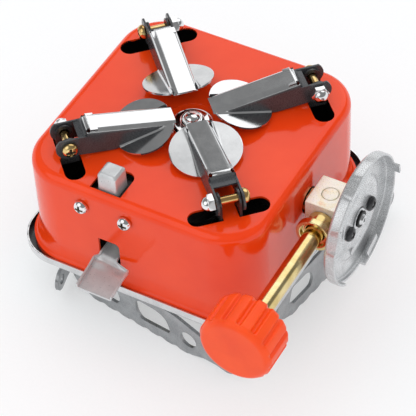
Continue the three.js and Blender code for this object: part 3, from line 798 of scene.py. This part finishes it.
# ---- centre fastening
def centre_fastening():
    """Washer in the dish, and the rivet-ended bolt on it."""
    floor = BASE_TOP - DISH_DEPTH
    low = floor + GAP
    top = floor + 1.6
    washer = rounded([(CENTRE_HOLE, low), (7.2, low), (7.2, top - 0.4), (6.2, top), (CENTRE_HOLE, top)],
                     0.35, 4)
    piece("boss_washer", about_centre(turned(washer, 96, ring=True)), "chrome", "base", ["centre_washer"], 0)
    seat = floor + 1.9
    shank = 2.4
    shank_end = 49.8
    head = rounded([(shank, seat), (4.3, seat), (4.3, seat + 1.1), (3.5, seat + 1.8), (2.6, seat + 1.6),
                    (shank, seat + 2.5)], 0.4, 4, closed=False)
    bolt = turned([(0, shank_end), (shank, shank_end), *head, (0, seat + 2.8)], 96)
    piece("boss_bolt", about_centre(bolt), "chrome", "base", ["centre_bolt"], 0)


# ---- valve
def on_stem(mesh, y=0.0):
    """Turns a piece to the stem's axis: its heights run towards -Y."""
    return moved(spun(mesh, 90, "X"), STEM_X, CENTRE.y + y, AXIS_Z)


def on_gas_axis(mesh, y=0.0):
    """Turns a piece to the gas passage's axis: its heights run towards +X."""
    return moved(spun(mesh, 90, "Y"), CENTRE.x, CENTRE.y + y, AXIS_Z)


def valve():
    """Block with a plug in its top, the packing nut in its front and the stem."""
    top = BLOCK_HIGH.z
    plug_x = STEM_X - 0.6
    plug_radius = 2.8
    plug_seat = moved(rod(plug_radius + GAP, top - 1.1, top + 1), plug_x, CENTRE.y)
    body = block(BLOCK_LOW.x, BLOCK_HIGH.x, BLOCK_LOW.y, BLOCK_HIGH.y, BLOCK_LOW.z, top)
    stem_bore = on_stem(rod(4.3, -3, 12))
    gas_bore = on_gas_axis(rod(1.6, 30, 70))
    body = cut(body, stem_bore, gas_bore, plug_seat)
    piece("valve_casting", body, "yellow_zinc", "base", ["valve_block"], 0.35)
    plug = moved(rod(plug_radius, top - 0.8, top - 0.1), plug_x, CENTRE.y)
    piece("valve_plug_cap", plug, "yellow_zinc", "base", ["valve_plug"])
    bore = 3.6
    profile = [(bore, 3.2), (4, 3.2), (4, 7.3), (4.9, 7.3), (4.9, 11.6), (6.5, 12.2), (6.5, 14.6), (5, 14.6),
               (4.6, 13), (bore, 13)]
    nut = on_stem(turned(rounded(profile, 0.35, 4), 96, ring=True))
    piece("gland_nut", nut, "yellow_zinc", "base", ["packing_nut"], 0, material="brass")
    stem = [(0, -2.2), (1, -1), (1.2, 2), (3.3, 2.6), (3.3, 64.4), (2.8, 65), (0, 65)]
    piece("stem_rod", on_stem(turned(stem, 96)), "brass", "valve_spindle", ["valve_stem"], 0)


def smooth(value):
    """Runs from 0 to 1 with soft ends as the value does, and stays there outside that range."""
    value = min(1.0, max(0.0, value))
    return value * value * (3 - 2 * value)


def fluted_knob():
    """Fifteen broad lobes with narrow flutes that run out before the flat front face."""
    lobes = 15
    flute_depth = 1.15
    flute_width = 0.16
    socket = 8.6
    bore = 3.6
    row = 0.4
    radius = (KNOB_HIGH.x - KNOB_LOW.x) / 2
    length = KNOB_HIGH.y - KNOB_LOW.y
    back = [(bore, socket), (bore, 0), (radius - 0.9, 0), (radius, 1.6)]
    side = [(radius, 1.6 + i * row) for i in range(int((length - 3.4) / row) + 1)]
    front = [(radius, length - 1.8), (radius - 1.4, length), (0, length)]
    profile = [*rounded(back, 0.8, 4, closed=False), *side, *rounded(front, 1.5, 7, closed=False)]
    body = turned([(0, socket), *profile], 420)
    for vertex in body.vertices:
        r = vertex.co.xy.length
        if r < radius * 0.7:
            continue
        phase = (math.atan2(vertex.co.y, vertex.co.x) / TURN * lobes) % 1.0 - 0.5
        narrow = math.exp(-(phase / flute_width) ** 4)
        dip = flute_depth * narrow * smooth((length - 1.5 - vertex.co.z) / 0.9)
        vertex.co.xy *= (r - dip) / r
    mesh = on_stem(body, KNOB_HIGH.y - CENTRE.y)
    piece("fluted_knob", mesh, "red_plastic", "valve_spindle", ["control_knob"], 0)


# ---- canister cup
CUP_BACK = 62.2
CUP_PLATE = 64
CUP_RIM = 66.5
CUP_RADIUS = 24
CUP_DENTS = (199, 248)
CUP_SCREWS = 8


def cup_dents(mesh):
    """Presses two shallow dents into the cup's outer band."""
    reach = 11
    depth = 0.9
    for vertex in mesh.vertices:
        r = vertex.co.xy.length
        if r < CUP_RADIUS - 1.6:
            continue
        angle = math.degrees(math.atan2(vertex.co.y, vertex.co.x))
        rise = min(1, max(0, (vertex.co.z - CUP_BACK - 0.6) / 1.8))
        for dent in CUP_DENTS:
            off = min(1, abs((angle - dent + 180) % 360 - 180) / reach)
            vertex.co.xy *= (r - depth * smooth(1 - off ** 3) * rise) / r


def cup_body():
    """Pressed from sheet: a band, a groove inside it, a raised middle, two tabs, a flap and a claw."""
    wall = 0.9
    inner = CUP_RADIUS - wall
    groove = CUP_BACK + 1
    outside = [(14, CUP_PLATE - 1), (15.5, CUP_BACK), (CUP_RADIUS - 0.8, CUP_BACK),
               (CUP_RADIUS, CUP_BACK + 0.8), (CUP_RADIUS, CUP_RIM)]
    inside = [(inner, CUP_RIM), (inner, groove), (16.2, groove), (14.6, CUP_PLATE), (12.4, CUP_PLATE),
              (11.8, CUP_PLATE - 0.35), (11.2, CUP_PLATE)]
    line = rounded([(0, CUP_PLATE - 1), *outside, *inside, (0, CUP_PLATE)], 0.6, 5, closed=False)
    cup = turned(line, 240)
    cup_dents(cup)
    flap = block(CUP_RADIUS - 5, CUP_RADIUS - 0.6, -3.9, 3.9, CUP_RIM - 1.1, CUP_RIM - 0.4)
    tabs = [spun(block(CUP_RADIUS - 4.4, CUP_RADIUS - 1.6, -3.2, 3.2, CUP_RIM - 1.2, CUP_RIM - 0.5), turn)
            for turn in CUP_DENTS]
    claw = spun(block(CUP_RADIUS - 1.1, CUP_RADIUS - 0.1, -2, 2, CUP_RIM - 1, CUP_RIM + 2), 103)
    rivet_radius = 1.5
    rivet = turned([(0, CUP_PLATE - 0.5), (rivet_radius, CUP_PLATE - 0.5),
                    *arc(0, CUP_PLATE, rivet_radius, 0, 88, 8), (0, CUP_PLATE + rivet_radius)], 32)
    gap_in_band = spun(block(11, 30, -7, 9, CUP_PLATE + 0.4, 80), -20)
    holes = [moved(rod(1.8, 50, 70), 0, side * CUP_SCREWS) for side in (-1, 1)]
    joined = join(cup, spun(flap, 20), *tabs, claw, moved(rivet, 11.6, -5))
    return cut(joined, rod(4.4, 50, 70), gap_in_band, *holes)


def canister_cup():
    """The cup with its two screws, the gas inlet and its seal, and the plate behind it."""
    piece("canister_cup", on_gas_axis(cup_body()), "satin_steel", "base", ["adapter_cup"], 0.12,
          material="cup_steel")
    for number, side in enumerate((-1, 1), 1):
        # Each screw's cross recess takes the near-black that is painted shade.
        screw = pan_screw(1, CUP_PLATE - 5, CUP_PLATE + GAP, head=2.7, height=1.8)
        screw = on_gas_axis(screw, side * CUP_SCREWS)
        piece(f"cup_screw_{number}", screw, "satin_steel", "base", [f"adapter_screw_{number}"], 0,
              material="black_screw", second="painted_shade_black")
    start = 60.3
    end = 66.2
    bore = 0.8
    nozzle = rounded([(bore, start), (3.1, start), (3.1, 63.2), (4, 63.2), (4, 64.4), (2.3, 64.7), (1.6, end),
                      (bore, end)], 0.2, 3)
    hexagon = common(rod(4, CUP_PLATE, 70, 6), block(-5, 5, -5, 5, CUP_PLATE - 1, CUP_PLATE + 0.5))
    inlet = join(turned(nozzle, 64, ring=True), cut(hexagon, rod(3, 50, 70)))
    piece("gas_inlet", on_gas_axis(inlet), "brass", "base", ["inlet_nozzle"], 0.1, material="stainless")
    seal = rounded([(2.1, 64.7), (3.1, 64.7), (3.1, 65.3), (2.1, 65.3)], 0.25, 5)
    piece("inlet_o_ring", on_gas_axis(turned(seal, 64, ring=True)), "rubber", "base", ["inlet_seal"], 0)
    plate_body = block(-5, 5, -12, 12, start, CUP_BACK - GAP)
    holes = [moved(rod(1.3, 50, 70), 0, side * CUP_SCREWS) for side in (-1, 1)]
    backing = on_gas_axis(cut(plate_body, rod(3.4, 50, 70), *holes))
    piece("cup_backing", backing, "stainless", "base", ["adapter_backing_plate"], 0.2)


# ---- igniter
def igniter():
    """Housing with a wing to each side for its screws, and a tapered cap in the base's window."""
    wings = block(-12, 12, -43.8, -43, SCREW_Z - 3.4, SCREW_Z + 3.4)
    housing_top = 58
    housing = block(-5.2, 5.2, -43.2, -32.2, 48, housing_top)
    pocket = block(-4.6, 4.6, -42.4, -33.2, 40, 57.2)
    levels = [(3.9, 0), (3.75, 0.6), (3.62, 8.1), (3.5, 8.6), (2.85, 9.3), (2.6, 9.4)]
    cap = loft([[(x, y, z) for x, y in rounded_square(half, 0.8, 6)] for half, z in levels])
    holes = [moved(spun(rod(1.3, 40, 50), 90, "X"), side * SCREW_SPREAD, 0, SCREW_Z) for side in (-1, 1)]
    body = cut(join(wings, housing, moved(cap, 0, -37.9, 57.6)), pocket, *holes)
    # The housing below the cap, inside the base, is painted near-black as shade.
    mark(body, lambda middle, normal: middle.z < housing_top + 0.1)
    moved(body, CENTRE.x + BRACKET_X, CENTRE.y)
    piece("igniter_housing", body, "chrome", "base", ["igniter_bracket"], 0.2, material="satin_plate",
          second="painted_shade_black")
    for number, side in enumerate((-1, 1), 1):
        # Each screw's cross recess is painted dark as shade.
        screw = spun(pan_screw(1, 41, 45.3, head=2.6, height=2.3), 90, "X")
        moved(screw, CENTRE.x + BRACKET_X + side * SCREW_SPREAD, CENTRE.y, SCREW_Z)
        piece(f"housing_screw_{number}", screw, "chrome", "base", [f"igniter_screw_{number}"], 0,
              second="recess_painted_shade")


def grid_sheet(upper, lower, width):
    """Closed sheet between two grids of points, each row of them that wide."""
    rows = len(upper) // width
    count = len(upper)
    faces = []
    for r in range(rows - 1):
        for c in range(width - 1):
            a = r * width + c
            faces.append((a, a + 1, a + 1 + width, a + width))
            faces.append((count + a + width, count + a + width + 1, count + a + 1, count + a))
        a = r * width
        faces.append((a, a + width, count + a + width, count + a))
        a += width - 1
        faces.append((a + width, a, count + a, count + a + width))
    for c in range(width - 1):
        faces.append((c, c + 1, count + c + 1, count + c))
        a = (rows - 1) * width + c
        faces.append((a + 1, a, count + a, count + a + 1))
    return mesh_of(upper + lower, faces)


def thumb_lever():
    """Pressed lever: a neck that steps down outside the wall and widens to a tilted thumb tab.

    Its edges turn up. The neck leans to one side, and the tab is level again.
    """
    low, _ = box_mm("ignition_lever")
    sheet = 0.8
    neck_half = 3.5
    tab_half = 7.1
    inner = -34.5
    widening = -46.2
    step_start = -45.5
    bend = -47.8
    length = 12.3
    step = math.radians(31)
    tilt = math.radians(10)
    lean = math.radians(7)
    flat = 0.82
    edge = 0.12
    neck_rows = 23
    tab_rows = 27
    columns = 40
    rows = [inner - i * 0.6 for i in range(neck_rows)]
    rows += [bend - i * length / (tab_rows - 1) for i in range(tab_rows)]
    upper = []
    lower = []
    for y in rows:
        spread = smooth((widening - y) / 1.8)
        half = neck_half + (tab_half - neck_half) * spread
        lip = 1.5 + 0.6 * spread
        shift = 2.2 * spread
        past = max(0, bend - y)
        drop = max(0, step_start - max(y, bend)) * math.tan(step)
        twist = math.sin(lean) * (1 - smooth((past - 0.6) / 3))
        for layer, offset in ((upper, sheet), (lower, 0)):
            for c in range(columns + 1):
                s = 2 * c / columns - 1
                curl = max(0, abs(s) - flat) / (1 - flat)
                out = min(abs(s) / flat, 1) * (1 - edge) + edge * math.sin(curl * math.pi / 2)
                x = half * math.copysign(out, s) - math.copysign(offset * curl * 0.9, s)
                z = offset * (1 - curl * 0.85) + lip * (1 - math.cos(curl * math.pi / 2))
                z -= max(-neck_half, min(neck_half, x)) * twist + drop
                layer.append((x + shift, y + past * (1 - math.cos(tilt)), z - past * math.sin(tilt)))
    mesh = moved(grid_sheet(upper, lower, columns + 1), CENTRE.x + LEVER_X, CENTRE.y, low.z + 2.77)
    piece("thumb_lever", mesh, "stainless", "igniter_lever", ["ignition_lever"], 0.12, material="satin_plate")


# ---- pot supports
SUPPORT_TOP = 17
SUPPORT_OFFSET = 4.5
SUPPORT_SHEET = 1.2


def support_mesh():
    """Plate on edge with a wavy lower edge, two windows, two holes and a folded tab at its pivot."""
    tip = (68, 6.5)
    tab_radius = 4.2
    pitch = 6.6
    waves = []
    for i in range(7):
        start = 8 + i * pitch
        waves += [(start, 0), (start + 3, 0), (start + 4.2, 0.7), (start + 5.4, 0.7)]
    lower_edge = [(-1, 8), (0, 5.5), (3, 2.4), (7, 0.8), *waves, (58, 2.6), (63.5, 3)]
    upper_edge = [(62, 11.6), (58, 13.2), (45, SUPPORT_TOP), (2, SUPPORT_TOP)]
    outline = [*rounded(lower_edge, 0.8, 4, closed=False), *arc(*tip, 4.2, -90, 108, 24),
               *rounded(upper_edge, 1.5, 5, closed=False)]
    windows = [[(6.5, 7.5), (9, 5), (19.5, 5), (21, 8), (20, 12), (17, 14), (8.5, 14)],
               [(27.9, 11.9), (28.4, 7.2), (30.3, 4.3), (43.3, 5.3), (43.4, 7.8), (42.1, 11.3), (39.9, 13.1),
                (37.1, 13.8), (30, 13.8)]]
    holes = [upright(rounded(points, 1.2, 4), -20, 20) for points in windows]
    holes += [upright(arc(x, z, r, 0, 350, 35), -20, 20) for x, z, r in ((51.6, 7.7, 3.5), (*tip, 1.9))]
    outer_side = -SUPPORT_OFFSET - SUPPORT_SHEET
    plate = cut(upright(outline, outer_side, -SUPPORT_OFFSET), *holes)
    tab = [(-tab_radius, outer_side), (12, outer_side), (12, -SUPPORT_OFFSET + 0.4), (tab_radius, 0),
           *arc(0, 0, tab_radius, 0, 180, 24)]
    folded = prism(tab, SUPPORT_TOP - SUPPORT_SHEET, SUPPORT_TOP)
    return cut(join(plate, folded), rod(1.8, 0, 30))


def pot_supports():
    """Four plates, each on its rivet, closed to the angle that it rests at."""
    low = 14.2
    high = 20.3
    shank = 1.5
    side_line = [(2.4, low), (3, 15.5), (shank, 15.5), (shank, 19.1), (2.8, 19.1), (2.2, high)]
    rivet = [(0, low), *rounded(side_line, 0.25, 3, closed=False), (0, high)]
    for quarter, (side, swing) in enumerate(REST_SWING.items()):
        place = joint_mm(f"support_swing_{side}")
        mesh = moved(spun(support_mesh(), 90 * quarter - swing), place.x, place.y)
        piece(f"support_plate_{side}", mesh, "satin_steel", f"support_{side}", [f"pot_support_{side}"], 0.14,
              material="plate_steel")
        piece(f"pivot_rivet_{side}", moved(turned(rivet), place.x, place.y), "stainless", "base",
              [f"support_rivet_{side}"], 0)


# ---- burner
def burner():
    """Cast burner with its toothed flame spreader, the screw that holds it, and the mixer tube."""
    bore_end = moved(spun(rod(6.3, 0, 20), 90, "Y"), 0, 0, AXIS_Z)
    neck_top = 49
    neck_inside = 7
    casting_top = 57.3
    profile = [(0, neck_top), (neck_inside, neck_top), (neck_inside, 18), (8, 15.5), (22.5, 12.5),
               (22.5, 9.6), (25, 9.6), (25, 13), (24, 15), (14, 17.7), (9.4, 17.7), (9.4, 19.6), (9, 19.6),
               (9, 51), (6, 53), (6, casting_top), (0, casting_top)]
    cast = cut(turned(rounded(profile, 0.6, 4, closed=False), 96), bore_end, rod(2.7, 48, 60))
    piece("burner_casting", about_centre(cast), "cast_alloy", "base", ["burner_body"], 0)
    teeth = 18
    tooth = 180 / teeth
    rim = []
    for i in range(teeth):
        start = 2 * tooth * i
        rim += arc(0, 0, 24.5, start, start + tooth, 5)
        rim += arc(0, 0, 20.5, start + tooth, start + 2 * tooth, 5)
    low = 5.4
    plate_top = 7.4
    plate_side = [(21, low), (25, low + 1), (25, plate_top)]
    plate = turned([(0, low), *rounded(plate_side, 0.4, 4, closed=False), (0, plate_top)], 96)
    spreader = join(plate, prism(rim, plate_top - 0.2, 9.2))
    spreader = cut(spreader, rod(18.5, plate_top, 12), rod(2.3, 0, 12))
    piece("flame_spreader", about_centre(spreader), "brass", "base", ["burner_cap"])
    head = 3.6
    end = 14
    screw_side = [(3, head), (4, 5.1), (2, 5.1), (2, end)]
    screw = turned([(0, head), *rounded(screw_side, 0.3, 4, closed=False), (0, end)])
    screw = cut(screw, block(-2.6, 2.6, -0.4, 0.4, 3, 4.4))
    piece("spreader_screw", about_centre(screw), "stainless", "base", ["burner_cap_screw"], 0.1)
    tube = rounded([(5.2, 8.8), (6, 8.8), (6, 34), (7.2, 39), (6.4, 39), (5.2, 34)], 0.3, 4)
    piece("venturi_tube", on_gas_axis(turned(tube, 72, ring=True)), "stainless", "base", ["mixer_tube"], 0)


# ---- inner pieces that keep their CAD shape
def inner_pieces():
    """The CAD nodes that show, with a material and soft edges."""
    slots = {row["node"]: row["material_slot"] for row in frame["record"]["subparts"]}
    for name, node in frame["nodes"].items():
        if node.hide_render:
            continue
        node.data.materials.clear()
        node.data.materials.append(MATERIALS[slots[name]])
        soften(node, 0.1, 2, 40)


# ---- studio
class World(Tree):
    """The nodes of the surroundings."""

    def __init__(self):
        self.world = bpy.data.worlds.new("studio")
        self.world.use_nodes = True
        self.tree = self.world.node_tree
        self.direction = self.tree.nodes.new("ShaderNodeTexCoord").outputs["Generated"]

    def work(self, operation, *values, kind="ShaderNodeMath"):
        """Outputs of a node that does one operation on the values."""
        node = self.tree.nodes.new(kind)
        node.operation = operation
        for socket, value in zip(node.inputs, values):
            self.feed(socket, value)
        return node.outputs

    def soft_box(self, toward, edge, middle, level):
        """Brightness of a round soft box that lies in one direction and fades from its middle to its edge."""
        toward = Vector(toward).normalized()
        closeness = self.work("DOT_PRODUCT", self.direction, toward, kind="ShaderNodeVectorMath")["Value"]
        return self.spread(closeness, edge, middle, 0, level, shape="SMOOTHSTEP")


def backdrop():
    """White surroundings. Mirrored rays see two soft boxes and a bright horizon below a darker sky."""
    world = World()
    overhead = world.soft_box((-0.024, 0.694, 0.719), 0.848, 0.925, 1.45)
    behind = world.soft_box((-0.35, -0.62, 0.70), 0.86, 0.93, 1.3)
    height = world.tree.nodes.new("ShaderNodeSeparateXYZ")
    world.feed(height.inputs[0], world.direction)
    horizon = world.spread(height.outputs["Z"], 0.30, 0.12, 0.24, 1.0, shape="SMOOTHSTEP")
    boxes = world.work("ADD", overhead, behind)[0]
    mirrored = world.work("MAXIMUM", boxes, horizon)[0]
    is_glossy = world.tree.nodes.new("ShaderNodeLightPath").outputs["Is Glossy Ray"]
    for_mirrors = world.work("MULTIPLY", mirrored, is_glossy)[0]
    is_other = world.work("SUBTRACT", 1.0, is_glossy)[0]
    for_others = world.work("MULTIPLY", is_other, 0.86)[0]
    background = world.tree.nodes["Background"]
    background.inputs["Color"].default_value = (1.0, 1.0, 1.0, 1)
    world.feed(background.inputs["Strength"], world.work("ADD", for_mirrors, for_others)[0])
    bpy.context.scene.world = world.world


def lamp(name, spot):
    """Large soft lamp that points at the origin and is not seen in mirrors."""
    data = bpy.data.lights.new(name, "AREA")
    data.size = 1.2
    data.energy = 1.8
    light = bpy.data.objects.new(name, data)
    light.location = spot
    light.rotation_mode = "QUATERNION"
    light.rotation_quaternion = (-Vector(spot)).to_track_quat("-Z", "Y")
    light.visible_glossy = False
    bpy.context.scene.collection.objects.link(light)


def studio():
    floor = bpy.data.objects.new("floor", prism(rounded_square(3000, 100), -2, -0.02))
    floor.data.transform(Matrix.Scale(MM, 4))
    floor.data.materials.append(floor_paper())
    bpy.context.scene.collection.objects.link(floor)
    backdrop()
    lamp("key", (-0.3, 0.35, 0.9))
    lamp("fill", (0.3, -0.5, 0.8))


def camera():
    """Long lens, high on the front right, turned a little about its axis."""
    azimuth = math.radians(31.26)
    elevation = math.radians(46.62)
    roll = math.radians(-3.25)
    spot = CENTRE + Vector((265.45, -430.15, 551.55))
    level = math.cos(elevation)
    back = Vector((math.sin(azimuth) * level, -math.cos(azimuth) * level, math.sin(elevation)))
    right = Vector((0, 0, 1)).cross(back).normalized()
    up = back.cross(right)
    side = right * math.cos(roll) + up * math.sin(roll)
    top = up * math.cos(roll) - right * math.sin(roll)
    data = bpy.data.cameras.new("camera")
    data.sensor_width = 36
    data.lens = 176.7
    data.clip_end = 10
    made = bpy.data.objects.new("camera", data)
    made.matrix_world = Matrix.Translation(spot * MM) @ Matrix((side, top, back)).transposed().to_4x4()
    bpy.context.scene.collection.objects.link(made)
    bpy.context.scene.camera = made


camera()
studio()
red_base()
steel_tray()
for corner_index, corner_name in enumerate(("back_right", "back_left", "front_left", "front_right")):
    folding_leg(corner_name, corner_index)
centre_fastening()
valve()
fluted_knob()
canister_cup()
igniter()
thumb_lever()
pot_supports()
burner()
inner_pieces()
bpy.context.scene.view_settings.view_transform = "Standard"
